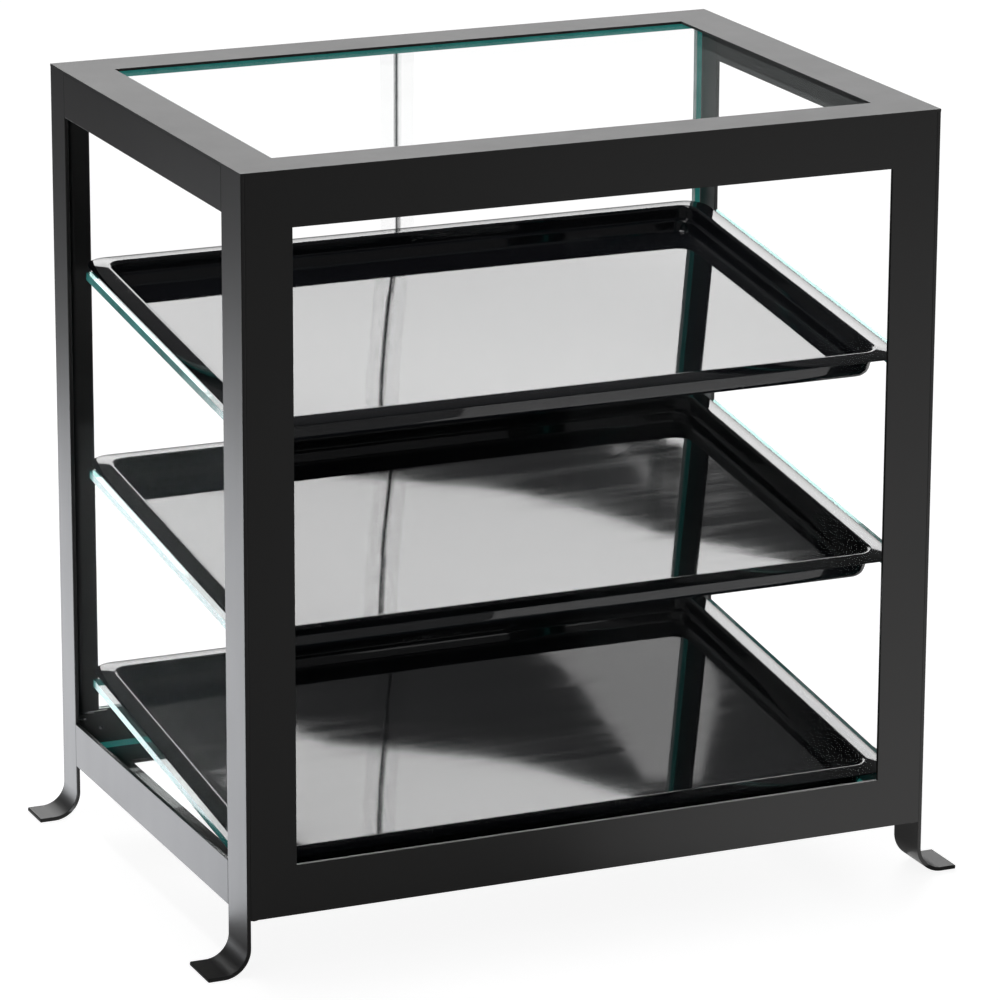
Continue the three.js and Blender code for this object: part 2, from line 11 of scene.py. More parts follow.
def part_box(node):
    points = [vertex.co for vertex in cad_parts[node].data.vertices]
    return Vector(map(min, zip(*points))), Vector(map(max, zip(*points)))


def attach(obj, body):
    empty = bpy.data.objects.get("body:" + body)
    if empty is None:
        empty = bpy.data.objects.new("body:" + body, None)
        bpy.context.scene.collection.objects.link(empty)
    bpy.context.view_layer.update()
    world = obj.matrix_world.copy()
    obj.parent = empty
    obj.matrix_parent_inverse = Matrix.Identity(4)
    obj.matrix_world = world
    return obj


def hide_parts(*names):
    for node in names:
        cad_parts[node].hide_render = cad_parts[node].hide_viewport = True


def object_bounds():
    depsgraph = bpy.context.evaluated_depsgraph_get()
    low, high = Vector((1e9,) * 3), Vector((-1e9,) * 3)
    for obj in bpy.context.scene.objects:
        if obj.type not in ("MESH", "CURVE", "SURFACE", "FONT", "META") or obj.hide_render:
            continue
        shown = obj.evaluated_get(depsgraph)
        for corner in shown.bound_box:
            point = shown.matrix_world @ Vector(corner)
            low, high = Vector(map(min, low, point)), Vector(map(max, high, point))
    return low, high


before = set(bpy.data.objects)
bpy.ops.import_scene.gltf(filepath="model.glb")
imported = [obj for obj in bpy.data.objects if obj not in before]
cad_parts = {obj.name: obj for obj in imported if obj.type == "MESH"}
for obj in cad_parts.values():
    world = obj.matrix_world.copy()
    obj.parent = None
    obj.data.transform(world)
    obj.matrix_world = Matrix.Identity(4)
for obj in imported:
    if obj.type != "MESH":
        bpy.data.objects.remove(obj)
cad_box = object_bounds()
scene = bpy.context.scene
MM = 0.001

# ---- Camera -------------------------------------------------------------------------------

CAMERA_PLACE = Vector((-1.5774, -3.6224, 1.4353))
CAMERA_AZIMUTH = 23.706
CAMERA_PITCH = 16.454
CAMERA_ROLL = 0.254
CAMERA_LENS = 197.91
CAMERA_SENSOR = 36.0
CLIP_START = 0.1
CLIP_END = 60.0


def make_camera():
    """A long lens in front of the case, to its left and a little above it."""
    data = bpy.data.cameras.new("camera")
    data.lens = CAMERA_LENS
    data.sensor_width = CAMERA_SENSOR
    data.clip_start = CLIP_START
    data.clip_end = CLIP_END
    camera = bpy.data.objects.new("camera", data)
    scene.collection.objects.link(camera)
    turn = Matrix.Rotation(math.radians(-CAMERA_AZIMUTH), 4, "Z")
    tilt = Matrix.Rotation(math.radians(90 - CAMERA_PITCH), 4, "X")
    roll = Matrix.Rotation(math.radians(CAMERA_ROLL), 4, "Z")
    camera.matrix_world = Matrix.Translation(CAMERA_PLACE) @ turn @ tilt @ roll
    scene.camera = camera


make_camera()

# ---- Dimensions, in millimetres -----------------------------------------------------------

SHIFT_Y = -202.0
STEEL = 3.0
FOOT = 42.0
INNER_X = 267.0
TRAY_SLOPE = 7.0
TRAY_LEVELS = {"lower": 35.0, "middle": 200.5, "upper": 354.5}
TRAY_WIDTH = 514.0
TRAY_DEPTH = 352.0
TRAY_FRONT = 20.0
TRAY_FALL = 22.0

MERGE_DISTANCE = 1e-4
SMOOTH_ANGLE = 35.0
CREASE_ANGLE = 1.0  # radians
CORNERS = ((1, 1, 0), (-1, 1, 90), (-1, -1, 180), (1, -1, 270))  # side, side, start angle
CORNER_STEPS = 10
STRAIGHT_STEPS = 16


# ---- Mesh helpers -------------------------------------------------------------------------


def finish_object(name, bm, material, body, replaced=(), smooth_angle=SMOOTH_ANGLE):
    """Turns a bmesh in millimetres into a piece of the object in metres."""
    bmesh.ops.remove_doubles(bm, verts=bm.verts, dist=MERGE_DISTANCE)
    bmesh.ops.recalc_face_normals(bm, faces=bm.faces)
    mesh = bpy.data.meshes.new(name)
    bm.to_mesh(mesh)
    bm.free()
    mesh.transform(Matrix.Scale(MM, 4))
    obj = bpy.data.objects.new(name, mesh)
    scene.collection.objects.link(obj)
    materials = material if isinstance(material, (list, tuple)) else [material]
    for item in materials:
        mesh.materials.append(item)
    shade(obj, smooth_angle)
    weigh_normals(obj)
    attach(obj, body)
    if replaced:
        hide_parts(*replaced)
    return obj


def shade(obj, angle):
    """Smooth shading, with edges sharper than the angle kept crisp."""
    bm = bmesh.new()
    bm.from_mesh(obj.data)
    limit = math.radians(angle)
    for face in bm.faces:
        face.smooth = True
    for edge in bm.edges:
        edge.smooth = len(edge.link_faces) == 2 and edge.calc_face_angle(0) < limit
    bm.to_mesh(obj.data)
    bm.free()


def weigh_normals(obj):
    """Lets the large flat faces keep their own normals beside rounded edges."""
    modifier = obj.modifiers.new("weighted_normals", "WEIGHTED_NORMAL")
    modifier.keep_sharp = True
    modifier.weight = 100


def box_millimetres(node):
    """The low and high corners of a node of the frame."""
    low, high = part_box(node)
    return low / MM, high / MM


def add_box(bm, low, high):
    """A plain box; returns its vertices."""
    made = bmesh.ops.create_cube(bm, size=1.0)["verts"]
    for vert in made:
        for axis in range(3):
            vert.co[axis] = low[axis] + (vert.co[axis] + 0.5) * (high[axis] - low[axis])
    return made


def edges_of(verts):
    """The edges that join two of the given vertices, each once and in a fixed order."""
    inside = set(verts)
    found = {}
    for vert in verts:
        for edge in vert.link_edges:
            if edge.other_vert(vert) in inside:
                found[edge] = True
    return list(found)


def creases(bm):
    """The edges where two faces meet at an angle."""
    return [edge for edge in bm.edges if edge.calc_face_angle(0) > CREASE_ANGLE]


def round_edges(bm, edges, radius, steps=3):
    """Breaks edges with a round of the given radius."""
    bmesh.ops.bevel(
        bm, geom=edges, offset=radius, offset_type="OFFSET", segments=steps,
        profile=0.5, affect="EDGES", clamp_overlap=True,
    )


def rounded_box(bm, low, high, radius, steps=3):
    """A box with all its edges rounded."""
    verts = add_box(bm, low, high)
    round_edges(bm, edges_of(verts), radius, steps)


def extrude_outline(bm, points, low, high, axis="Z", holes=()):
    """A prism of a closed outline; a window has as many points as the outline."""
    place = {
        "Z": lambda a, b, t: Vector((a, b, t)),
        "Y": lambda a, b, t: Vector((a, t, b)),
        "X": lambda a, b, t: Vector((t, a, b)),
    }[axis]
    rings = [list(points)] + [list(hole) for hole in holes]
    layers = []
    for level in (low, high):
        layers.append([[bm.verts.new(place(a, b, level)) for a, b in ring] for ring in rings])
    for index, ring in enumerate(rings):
        count = len(ring)
        for i in range(count):
            j = (i + 1) % count
            low_ring, high_ring = layers[0][index], layers[1][index]
            bm.faces.new((low_ring[i], low_ring[j], high_ring[j], high_ring[i]))
    for layer in layers:
        if not holes:
            bm.faces.new(layer[0])
            continue
        count = len(rings[0])
        for i in range(count):
            j = (i + 1) % count
            bm.faces.new((layer[0][i], layer[0][j], layer[1][j], layer[1][i]))


def rectangle(low_a, low_b, high_a, high_b):
    return [(low_a, low_b), (high_a, low_b), (high_a, high_b), (low_a, high_b)]


def arc(centre, radius, start, end, steps):
    """Points along an arc, from one angle to another in degrees."""
    points = []
    for i in range(steps + 1):
        angle = math.radians(start + (end - start) * i / steps)
        points.append((centre[0] + radius * math.cos(angle), centre[1] + radius * math.sin(angle)))
    return points


def rounded_rectangle(width, depth, radius):
    """Points round a rectangle with round corners, with the straights divided as well."""
    points = []
    for sx, sy, start in CORNERS:
        centre = (sx * (width / 2 - radius), sy * (depth / 2 - radius))
        points.append(arc(centre, radius, start, start + 90, CORNER_STEPS))
    ring = []
    for i, corner in enumerate(points):
        ring += corner
        begin = Vector(corner[-1])
        end = Vector(points[(i + 1) % 4][0])
        for k in range(1, STRAIGHT_STEPS):
            step = begin.lerp(end, k / STRAIGHT_STEPS)
            ring.append((step.x, step.y))
    return ring


def cylinder(bm, centre, radius, low, high, axis="Z", steps=32, bore=0.0, chamfer=0.0):
    """A rod or a tube with broken edges, along one axis."""
    profile = [(bore, low), (radius - chamfer, low), (radius, low + chamfer)]
    profile += [(radius, high - chamfer), (radius - chamfer, high), (bore, high)]
    lathe(bm, centre, profile, axis, steps, closed=bore > 0)


def lathe(bm, centre, profile, axis="Z", steps=32, closed=False):
    """Turns (radius, height) points round an axis through centre, its other two coordinates."""

    def place(radius, height, angle):
        a = centre[0] + radius * math.cos(angle)
        b = centre[1] + radius * math.sin(angle)
        return {"Z": (a, b, height), "Y": (a, height, b), "X": (height, a, b)}[axis]

    rings = []
    for radius, height in profile:
        if radius < 1e-6:
            rings.append([bm.verts.new(place(0, height, 0))])
        else:
            turns = [2 * math.pi * i / steps for i in range(steps)]
            rings.append([bm.verts.new(place(radius, height, turn)) for turn in turns])
    pairs = list(zip(rings, rings[1:]))
    if closed:
        pairs.append((rings[-1], rings[0]))
    for a, b in pairs:
        for i in range(steps):
            j = (i + 1) % steps
            if len(a) == 1:
                bm.faces.new((a[0], b[j], b[i]))
            elif len(b) == 1:
                bm.faces.new((a[i], a[j], b[0]))
            else:
                bm.faces.new((a[i], a[j], b[j], b[i]))


# ---- Material helpers ---------------------------------------------------------------------

HEAD_ON_REFLECTION = 0.04


class Nodes:
    """A short way to build one node material."""

    def __init__(self, name):
        self.material = bpy.data.materials.new(name)
        self.material.use_nodes = True
        self.tree = self.material.node_tree
        self.shader = self.tree.nodes["Principled BSDF"]
        coordinates = self.tree.nodes.new("ShaderNodeTexCoord")
        self.place = coordinates.outputs["Object"]

    def set(self, **values):
        """Uniform values, by socket name with _ for each space."""
        for key, value in values.items():
            self.shader.inputs[key.replace("_", " ")].default_value = value

    def link(self, output, name):
        """Drives a socket of the shader."""
        self.tree.links.new(output, self.shader.inputs[name])

    def stretch(self, scale):
        """The object's coordinates, drawn out along an axis where the scale is under 1."""
        node = self.tree.nodes.new("ShaderNodeMapping")
        node.inputs["Scale"].default_value = scale
        self.tree.links.new(self.place, node.inputs["Vector"])
        return node.outputs["Vector"]

    def noise(self, scale, detail=3.0, roughness=0.5, vector=None):
        node = self.tree.nodes.new("ShaderNodeTexNoise")
        node.inputs["Scale"].default_value = scale
        node.inputs["Detail"].default_value = detail
        node.inputs["Roughness"].default_value = roughness
        self.tree.links.new(vector or self.place, node.inputs["Vector"])
        return node.outputs["Fac"]

    def remap(self, value, low, high, to_low, to_high):
        node = self.tree.nodes.new("ShaderNodeMapRange")
        node.inputs["From Min"].default_value = low
        node.inputs["From Max"].default_value = high
        node.inputs["To Min"].default_value = to_low
        node.inputs["To Max"].default_value = to_high
        self.tree.links.new(value, node.inputs["Value"])
        return node.outputs["Result"]

    def math(self, operation, a, b):
        """One operation on two outputs or numbers, held between 0 and 1."""
        node = self.tree.nodes.new("ShaderNodeMath")
        node.operation = operation
        node.use_clamp = True
        for index, item in enumerate((a, b)):
            if isinstance(item, (int, float)):
                node.inputs[index].default_value = item
            else:
                self.tree.links.new(item, node.inputs[index])
        return node.outputs[0]

    def mix(self, factor, a, b):
        node = self.tree.nodes.new("ShaderNodeMix")
        node.data_type = "RGBA"
        self.tree.links.new(factor, node.inputs["Factor"])
        node.inputs["A"].default_value = (*a, 1)
        node.inputs["B"].default_value = (*b, 1)
        return node.outputs["Result"]

    def facing(self, blend=0.5):
        node = self.tree.nodes.new("ShaderNodeLayerWeight")
        node.inputs["Blend"].default_value = blend
        return node.outputs["Facing"]

    def reflection(self, scale):
        """Schlick's curve for one face of a clear sheet, the same from either side of the face."""
        grazing = self.math("POWER", self.facing(), 5.0)
        head_on = HEAD_ON_REFLECTION * scale
        return self.math("ADD", self.math("MULTIPLY", grazing, (1 - HEAD_ON_REFLECTION) * scale), head_on)

    def bump(self, height, strength, distance):
        node = self.tree.nodes.new("ShaderNodeBump")
        node.inputs["Strength"].default_value = strength
        node.inputs["Distance"].default_value = distance
        self.tree.links.new(height, node.inputs["Height"])
        self.link(node.outputs["Normal"], "Normal")


def powder_coat():
    """Satin black powder coat: a fine orange peel, faint rub marks and a little dust."""
    m = Nodes("powder_coat")
    peel = m.noise(900, 2.0, 0.6)
    cloud = m.noise(6, 4.0, 0.5)
    rub = m.noise(45, 5.0, 0.6, m.stretch((1.0, 1.0, 0.12)))
    dust = m.remap(m.noise(2600, 1.0, 0.5), 0.70, 0.80, 0.0, 0.4)
    tone = m.math("ADD", m.remap(cloud, 0.3, 0.7, 0.0, 0.3), dust)
    m.link(m.mix(tone, (0.0130, 0.0122, 0.0115), (0.0205, 0.0195, 0.0185)), "Base Color")
    rough = m.math("ADD", m.remap(rub, 0.3, 0.7, 0.385, 0.405), m.remap(cloud, 0.3, 0.7, 0.0, 0.03))
    m.link(rough, "Roughness")
    m.set(IOR=1.5, Specular_IOR_Level=0.5)
    m.bump(peel, 0.16, 0.00005)
    return m.material


def sheet_glass(name, tint, body, reflectance, smears):
    """A pane's faces: what it reflects shows on a clear sheet with a breath of colour in it."""
    m = Nodes(name)
    haze = m.remap(m.noise(9, 4.0, 0.6), 0.3, 0.7, 0.0, 1.0)
    m.link(m.mix(haze, tint, tuple(c * 0.96 for c in tint)), "Base Color")
    m.link(m.remap(m.noise(40, 4.0, 0.6), 0.3, 0.7, 0.008, 0.03), "Roughness")
    m.set(Metallic=1.0)
    smear = m.remap(m.noise(11, 5.0, 0.65), 0.35, 0.75, 0.0, smears)
    cover = m.math("ADD", m.math("ADD", m.reflection(reflectance), body), smear)
    m.link(cover, "Alpha")
    return m.material


def glass_edge(name, deep, bright, painted_glow):
    """A ground and polished edge, where the sheet's own colour gathers; it also shines with its bright colour
    as a painted glow, though it is no lamp.
    """
    m = Nodes(name)
    streak = m.noise(160, 4.0, 0.6, m.stretch((0.25, 0.25, 0.25)))
    grind = m.noise(2400, 2.0, 0.6)
    m.link(m.mix(m.remap(streak, 0.32, 0.68, 0.0, 1.0), deep, bright), "Base Color")
    m.link(m.remap(grind, 0.3, 0.7, 0.08, 0.22), "Roughness")
    m.set(IOR=1.5, Coat_Weight=0.2, Coat_Roughness=0.05)
    # Painted glow: the edge emits its bright colour as painted light, though it is no lamp.
    m.set(Emission_Color=(*bright, 1), Emission_Strength=painted_glow)
    m.bump(grind, 0.15, 0.00003)
    return m.material


def gloss_black():
    """Glossy black moulded tray: deep, with a slow ripple, hairline marks and specks of dust."""
    m = Nodes("gloss_black")
    ripple = m.noise(5, 1.0, 0.4)
    hair = m.noise(90, 3.0, 0.6, m.stretch((0.05, 1.0, 1.0)))
    specks = m.remap(m.noise(1300, 1.0, 0.5), 0.76, 0.82, 0.0, 0.7)
    cloud = m.remap(m.noise(18, 5.0, 0.65), 0.3, 0.7, 0.0, 0.3)
    tone = m.math("ADD", cloud, specks)
    m.link(m.mix(tone, (0.0040, 0.0044, 0.0060), (0.016, 0.017, 0.021)), "Base Color")
    m.link(m.remap(hair, 0.35, 0.7, 0.025, 0.05), "Roughness")
    m.set(IOR=1.5, Specular_IOR_Level=0.5)
    m.bump(ripple, 0.10, 0.0003)
    return m.material


def zinc_plate():
    """Bright zinc plate with a faint cloud in it."""
    m = Nodes("zinc_plate")
    cloud = m.noise(220, 4.0, 0.6)
    tone = m.remap(cloud, 0.3, 0.7, 0.0, 1.0)
    m.link(m.mix(tone, (0.42, 0.42, 0.43), (0.62, 0.62, 0.60)), "Base Color")
    m.link(m.remap(cloud, 0.3, 0.7, 0.22, 0.38), "Roughness")
    m.set(Metallic=1.0)
    m.bump(m.noise(1800, 2.0, 0.5), 0.2, 0.00003)
    return m.material


def moulded_plastic():
    """Black plastic with a fine moulded grain."""
    m = Nodes("moulded_plastic")
    grain = m.noise(1400, 3.0, 0.6)
    tone = m.remap(grain, 0.3, 0.7, 0.0, 1.0)
    m.link(m.mix(tone, (0.018, 0.018, 0.019), (0.034, 0.034, 0.035)), "Base Color")
    m.link(m.remap(grain, 0.3, 0.7, 0.42, 0.6), "Roughness")
    m.bump(grain, 0.4, 0.00005)
    return m.material


def clear_plastic(name, thin, grazing):
    """Clear moulded strip, seen mostly by its edges."""
    m = Nodes(name)
    cloud = m.noise(90, 4.0, 0.6)
    tone = m.remap(cloud, 0.3, 0.7, 0.0, 1.0)
    m.link(m.mix(tone, (0.44, 0.45, 0.45), (0.56, 0.57, 0.57)), "Base Color")
    m.link(m.remap(cloud, 0.3, 0.7, 0.10, 0.2), "Roughness")
    m.link(m.remap(m.facing(0.35), 0.0, 1.0, thin, grazing), "Alpha")
    return m.material


def pale_floor():
    """A floor that is white to the camera, and to the object dim in front and brighter behind."""
    m = Nodes("pale_floor")
    cloud = m.noise(1.3, 3.0, 0.5)
    m.link(m.mix(m.remap(cloud, 0.3, 0.7, 0.0, 1.0), (0.40, 0.40, 0.40), (0.42, 0.42, 0.42)), "Base Color")
    m.set(Roughness=0.6, Specular_IOR_Level=0.1, Emission_Color=(1, 1, 1, 1))
    split = m.tree.nodes.new("ShaderNodeSeparateXYZ")
    m.tree.links.new(m.place, split.inputs[0])
    bounce = m.remap(split.outputs["Y"], -0.1, 0.5, 0.15, 0.75)
    path = m.tree.nodes.new("ShaderNodeLightPath")
    seen = m.math("MULTIPLY", path.outputs["Is Camera Ray"], 0.9)
    m.link(m.math("MAXIMUM", seen, bounce), "Emission Strength")
    return m.material


def backdrop_glow(name, low, high, low_strength, high_strength):
    """A lit backdrop, brighter toward its top."""
    m = Nodes(name)
    split = m.tree.nodes.new("ShaderNodeSeparateXYZ")
    m.tree.links.new(m.place, split.inputs[0])
    m.set(Base_Color=(0.0, 0.0, 0.0, 1), Specular_IOR_Level=0.0, Emission_Color=(1, 1, 1, 1))
    m.link(m.remap(split.outputs["Z"], low, high, low_strength, high_strength), "Emission Strength")
    return m.material


POWDER = powder_coat()
FLOAT_TINT = (0.86, 0.95, 0.93)
GLASS_FACE = sheet_glass("float_glass", FLOAT_TINT, 0.006, 0.25, 0.01)
CLEAN_FACE = sheet_glass("clean_float_glass", FLOAT_TINT, 0.0004, 0.014, 0.0008)
TOP_FACE = sheet_glass("top_float_glass", FLOAT_TINT, 0.001, 0.07, 0.002)
# Each glass edge below carries a painted glow in its bright colour.
GLASS_EDGE = glass_edge("float_glass_edge", (0.006, 0.19, 0.17), (0.06, 0.42, 0.38), painted_glow=0.22)
RUNNER_FACE = sheet_glass("runner_glass", (0.60, 0.92, 0.88), 0.16, 0.6, 0.01)
RUNNER_EDGE = glass_edge("runner_glass_edge", (0.006, 0.10, 0.09), (0.05, 0.26, 0.24), painted_glow=0.10)
CLEAR_FACE = sheet_glass("door_glass", (0.90, 0.94, 0.94), 0.004, 0.2, 0.006)
CLEAR_EDGE = glass_edge("door_glass_edge", (0.30, 0.42, 0.40), (0.62, 0.70, 0.69), painted_glow=0.05)
GLOSS_BLACK = gloss_black()
ZINC = zinc_plate()
PLASTIC = moulded_plastic()
HINGE_PLATE = clear_plastic("hinge_plate", 0.03, 0.15)
CLEAR_PLASTIC = clear_plastic("clear_plastic", 0.12, 0.5)
KNUCKLE = clear_plastic("hinge_knuckle", 0.30, 0.4)
POLISHED_EDGE = clear_plastic("polished_edge", 0.10, 0.22)

# ---- Steel frame --------------------------------------------------------------------------

EDGE_BREAK = 0.45
RING_EDGE = 0.8
BOTTOM_RING_EDGE = 0.4
WINDOW_EDGE = 0.35
ON_FACE = 0.01
BEND_RADIUS = 19.5
BEND_STEPS = 20
BEND_LEAD = 6
BAR_EDGE = 0.55
BAR_EDGE_STEPS = 3
BEAD_PITCH = 1.6
BEAD_SIDES = 8
BEAD_SMOOTH_ANGLE = 70


def front_frame():
    """One welded panel with a window; only its outer joints to the legs show."""
    low, high = box_millimetres("front_bottom_rail")
    top_low, top_high = box_millimetres("front_top_rail")
    left = box_millimetres("left_front_stile")[1].x
    right = box_millimetres("right_front_stile")[0].x
    bm = bmesh.new()
    outer = rectangle(low.x, low.z, high.x, top_high.z)
    window = rectangle(left, high.z, right, top_low.z)
    extrude_outline(bm, outer, low.y, high.y, "Y", [window])
    round_edges(bm, creases(bm), EDGE_BREAK)
    replaced = ("front_bottom_rail", "front_top_rail", "left_front_stile", "right_front_stile")
    finish_object("front_frame", bm, POWDER, "case", replaced)


def leg(name):
    """A flat bar swept down the corner and round its curl, with its long edges broken."""
    low, high = box_millimetres(name)
    side = 1 if low.x > 0 else -1
    inner_x = min(abs(low.x), abs(high.x))
    outer_x = max(abs(low.x), abs(high.x))
    half = STEEL / 2
    bar_x = inner_x + half
    bend_z = BEND_RADIUS + half
    path = [(bar_x, high.z), (bar_x, high.z * 0.5), (bar_x, bend_z + BEND_LEAD)]
    path += arc((bar_x + BEND_RADIUS, bend_z), BEND_RADIUS, 180, 270, BEND_STEPS)
    path.append((outer_x, half))
    bm = bmesh.new()
    width = high.y - low.y
    section = []
    for sy, sz, start in CORNERS:
        centre = (sy * (width / 2 - BAR_EDGE), sz * (half - BAR_EDGE))
        section += arc(centre, BAR_EDGE, start, start + 90, BAR_EDGE_STEPS)
    rings = []
    middle_y = (low.y + high.y) / 2
    for i, (x, z) in enumerate(path):
        before = Vector(path[max(i - 1, 0)])
        after = Vector(path[min(i + 1, len(path) - 1)])
        along = (after - before).normalized()
        across = Vector((along.y, -along.x))
        rings.append([
            bm.verts.new((side * (x + across.x * t), middle_y + s, z + across.y * t)) for s, t in section
        ])
    tip_x, tip_z = path[-1]
    for vert in rings[-1]:
        vert.co.x = side * (tip_x - BAR_EDGE)
    narrower = 1 - 2 * BAR_EDGE / width
    thinner = 1 - BAR_EDGE / half
    rings.append([
        bm.verts.new((side * tip_x, middle_y + s * narrower, tip_z + t * thinner)) for s, t in section
    ])
    for a, b in zip(rings, rings[1:]):
        for i in range(len(section)):
            j = (i + 1) % len(section)
            bm.faces.new((a[i], a[j], b[j], b[i]))
    bm.faces.new(rings[0])
    bm.faces.new(list(reversed(rings[-1])))
    finish_object(name + "_bar", bm, POWDER, "case", (name,))


def plate(name):
    """A plain flat bar with broken edges."""
    low, high = box_millimetres(name)
    bm = bmesh.new()
    rounded_box(bm, low, high, EDGE_BREAK)
    finish_object(name + "_plate", bm, POWDER, "case", (name,))


def ring(name, nodes, outer_radius):
    """Four flat flanges welded into one ring, its outer edge dressed round."""
    boxes = [box_millimetres(node) for node in nodes]
    low = Vector(min(b[0][i] for b in boxes) for i in range(3))
    high = Vector(max(b[1][i] for b in boxes) for i in range(3))
    front, rear, right, left = boxes
    window = rectangle(left[1].x, front[1].y, right[0].x, rear[0].y)
    bm = bmesh.new()
    extrude_outline(bm, rectangle(low.x, low.y, high.x, high.y), low.z, high.z, "Z", [window])
    outside = []
    inside = []
    for edge in creases(bm):
        middle = (edge.verts[0].co + edge.verts[1].co) / 2
        on_outside = (
            min(abs(middle.x - low.x), abs(middle.x - high.x)) < ON_FACE
            or min(abs(middle.y - low.y), abs(middle.y - high.y)) < ON_FACE
        )
        if on_outside and middle.z > low.z + ON_FACE:
            outside.append(edge)
        elif not on_outside:
            inside.append(edge)
    round_edges(bm, outside, outer_radius, 4)
    inside = [e for e in inside if e.is_valid]
    round_edges(bm, inside, WINDOW_EDGE, 2)
    finish_object(name, bm, POWDER, "case", nodes)


def weld_bead(bm, start, end, radius, seed):
    """A small uneven fillet of weld along an inside corner."""
    draw = random.Random(seed)
    start, end = Vector(start), Vector(end)
    along = (end - start).normalized()
    side = along.cross(Vector((0, 0, 1)))
    if side.length < 0.1:
        side = Vector((1, 0, 0))
    side.normalize()
    up = side.cross(along).normalized()
    steps = max(3, int((end - start).length / BEAD_PITCH))
    rings = []
    for i in range(steps + 1):
        here = start.lerp(end, i / steps)
        size = radius * (0.86 + 0.2 * draw.random()) * (0.25 if i in (0, steps) else 1.0)
        rings.append([
            bm.verts.new(here + (side * math.cos(a) + up * math.sin(a)) * size)
            for a in (2 * math.pi * k / BEAD_SIDES for k in range(BEAD_SIDES))
        ])
    for a, b in zip(rings, rings[1:]):
        for i in range(BEAD_SIDES):
            j = (i + 1) % BEAD_SIDES
            bm.faces.new((a[i], a[j], b[j], b[i]))
    bm.faces.new(rings[0])
    bm.faces.new(list(reversed(rings[-1])))


def corner_welds():
    """The beads inside the corners where the rails meet the legs."""
    bm = bmesh.new()
    front_low, front_high = box_millimetres("front_bottom_rail")
    rail_low, rail_high = box_millimetres("rear_bottom_rail")
    seed = 1
    for x in (-INNER_X, INNER_X):
        bead_x = x + (0.6 if x < 0 else -0.6)
        bead_y = rail_low.y - 0.4
        weld_bead(bm, (bead_x, bead_y, FOOT + 8), (bead_x, bead_y, rail_high.z - 3), 1.1, seed)
        seed += 1
    for x in (front_low.x + 0.6, front_high.x - 0.6):
        end_x = x + (6 if x < 0 else -6)
        bead_y = front_low.y + 1.6
        weld_bead(bm, (x, bead_y, FOOT - 0.3), (end_x, bead_y, FOOT - 0.1), 0.9, seed)
        seed += 1
    finish_object("corner_welds", bm, POWDER, "case", smooth_angle=BEAD_SMOOTH_ANGLE)


# ---- Glass --------------------------------------------------------------------------------

PANE_EDGE = 0.5
STRIP_EDGE = 0.4
LEAF_EDGE = 0.6
GLASS_SMOOTH_ANGLE = 50
ALONG_AXIS = 0.95
RUNNER_OUTER_X = 261.25
RUNNER_WIDTH = 14
RUNNER_TOP = -2.8
RUNNER_THICKNESS = 6
RUNNER_FRONT = 13.7
RUNNER_BACK = 348
UPSTAND_BACK = 19.7


def pane(name, thin_axis, faces, edges, radius=PANE_EDGE):
    """A sheet with ground edges: the two big faces take one material and the rim the other."""
    low, high = box_millimetres(name)
    bm = bmesh.new()
    rounded_box(bm, low, high, radius, 2)
    for face in bm.faces:
        face.material_index = 0 if abs(face.normal[thin_axis]) > ALONG_AXIS else 1
    finish_object(name + "_sheet", bm, [faces, edges], "case", (name,), GLASS_SMOOTH_ANGLE)


def leaf(name, body, meeting_side):
    """A door leaf: the edge that meets the other leaf is polished clear, and the rest are ground."""
    low, high = box_millimetres(name)
    meeting_x = high.x if meeting_side > 0 else low.x
    bm = bmesh.new()
    rounded_box(bm, low, high, LEAF_EDGE, 2)
    for face in bm.faces:
        if abs(face.normal.y) > ALONG_AXIS:
            face.material_index = 0
        elif abs(face.calc_center_median().x - meeting_x) < 1.0:
            face.material_index = 2
        else:
            face.material_index = 1
    materials = [CLEAR_FACE, CLEAR_EDGE, POLISHED_EDGE]
    finish_object(name + "_sheet", bm, materials, body, (name,), GLASS_SMOOTH_ANGLE)


def panes():
    """The five panes, the strip that the door closes against and the two leaves."""
    for name, axis, faces in (
        ("front_pane", 1, CLEAN_FACE), ("left_side_pane", 0, CLEAN_FACE), ("right_side_pane", 0, CLEAN_FACE),
        ("top_pane", 2, TOP_FACE), ("bottom_pane", 2, GLASS_FACE),
    ):
        pane(name, axis, faces, GLASS_EDGE)
    pane("door_stop_strip", 2, RUNNER_FACE, GLASS_EDGE, STRIP_EDGE)
    leaf("door_inner_leaf", "door_inner", 1)
    leaf("door_outer_leaf", "door_outer", -1)


def tray_space(level):
    """From the tray's own frame (rim top in its XY plane) to the row's, in millimetres."""
    turn = Matrix.Rotation(math.radians(TRAY_SLOPE), 4, "X")
    return Matrix.Translation((0, SHIFT_Y, FOOT + TRAY_LEVELS[level])) @ turn


def runner(level, side):
    """A glass strip bonded to the side pane, with an upstand at its front."""
    name = f"{level}_{'right' if side > 0 else 'left'}_runner"
    bm = bmesh.new()
    xs = sorted((side * (RUNNER_OUTER_X - RUNNER_WIDTH), side * RUNNER_OUTER_X))
    under = RUNNER_TOP - RUNNER_THICKNESS
    outline = [(RUNNER_FRONT, under), (RUNNER_BACK, under), (RUNNER_BACK, RUNNER_TOP)]
    outline += [(UPSTAND_BACK, RUNNER_TOP), (UPSTAND_BACK, 0), (RUNNER_FRONT, 0)]
    extrude_outline(bm, outline, xs[0], xs[1], "X")
    round_edges(bm, creases(bm), PANE_EDGE, 2)
    for face in bm.faces:
        face.material_index = 0 if abs(face.normal.z) > ALONG_AXIS else 1
    bmesh.ops.transform(bm, matrix=tray_space(level), verts=bm.verts)
    materials = [RUNNER_FACE, RUNNER_EDGE]
    finish_object(name + "_strip", bm, materials, "case", (name,), GLASS_SMOOTH_ANGLE)


# ---- Trays --------------------------------------------------------------------------------

TRAY_RIM = 15.0
FLOOR_EDGE_HEIGHT = -18.3
FLOOR_SAG = 2.4
FLOOR_INSET = TRAY_RIM + 11.0
FLOOR_RINGS = 22
TRAY_SMOOTH_ANGLE = 40


